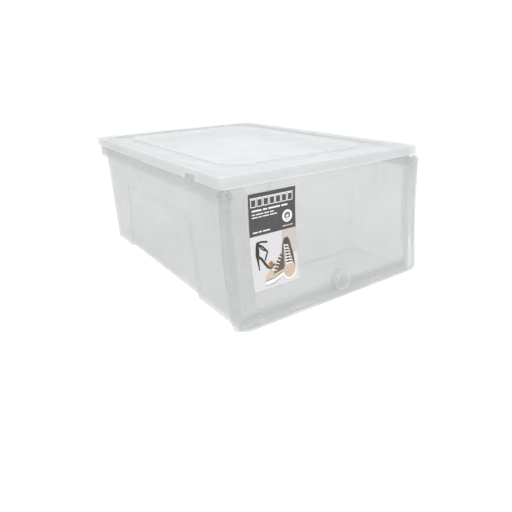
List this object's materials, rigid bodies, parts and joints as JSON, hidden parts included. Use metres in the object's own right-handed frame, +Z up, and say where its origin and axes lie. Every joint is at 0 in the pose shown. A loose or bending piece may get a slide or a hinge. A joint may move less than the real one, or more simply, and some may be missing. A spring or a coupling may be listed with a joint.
{
  "type": "shoe box",
  "caption": "Translucent front-opening shoe box with a loose lid and a flap door that swings up on pins.",
  "frame": {"origin": "on the surface that the box stands on, under the middle of the whole box's footprint with the knob", "axes": "+Z up, the door faces -Y, +X to the right of someone who looks at the box's rear wall through the door"},
  "size_m": [0.29, 0.4072, 0.1625],
  "materials": {
    "frosted_plastic": "translucent, fine frosted polypropylene",
    "lid_plastic": "translucent, fine frosted polypropylene",
    "clear_plastic": "clearer, polished polypropylene",
    "knob_plastic": "translucent, polished",
    "printed_card": "printed matte card"
  },
  "bodies": {
    "box": {"body_shell": "frosted_plastic"},
    "lid": {"lid": "lid_plastic"},
    "door": {"door": "clear_plastic", "door_knob": "knob_plastic", "label_card": "printed_card"}
  },
  "joints": [
    {"name": "door_hinge", "type": "hinge", "parent": "box", "child": "door", "pos_m": [0, -0.17385, 0.1438], "axis": [-1, 0, 0], "range_deg": [0, 85]},
    {"name": "lid_lift", "type": "slide", "parent": "box", "child": "lid", "axis": [0, 0, 1], "range_m": [0, 0.06]}
  ]
}
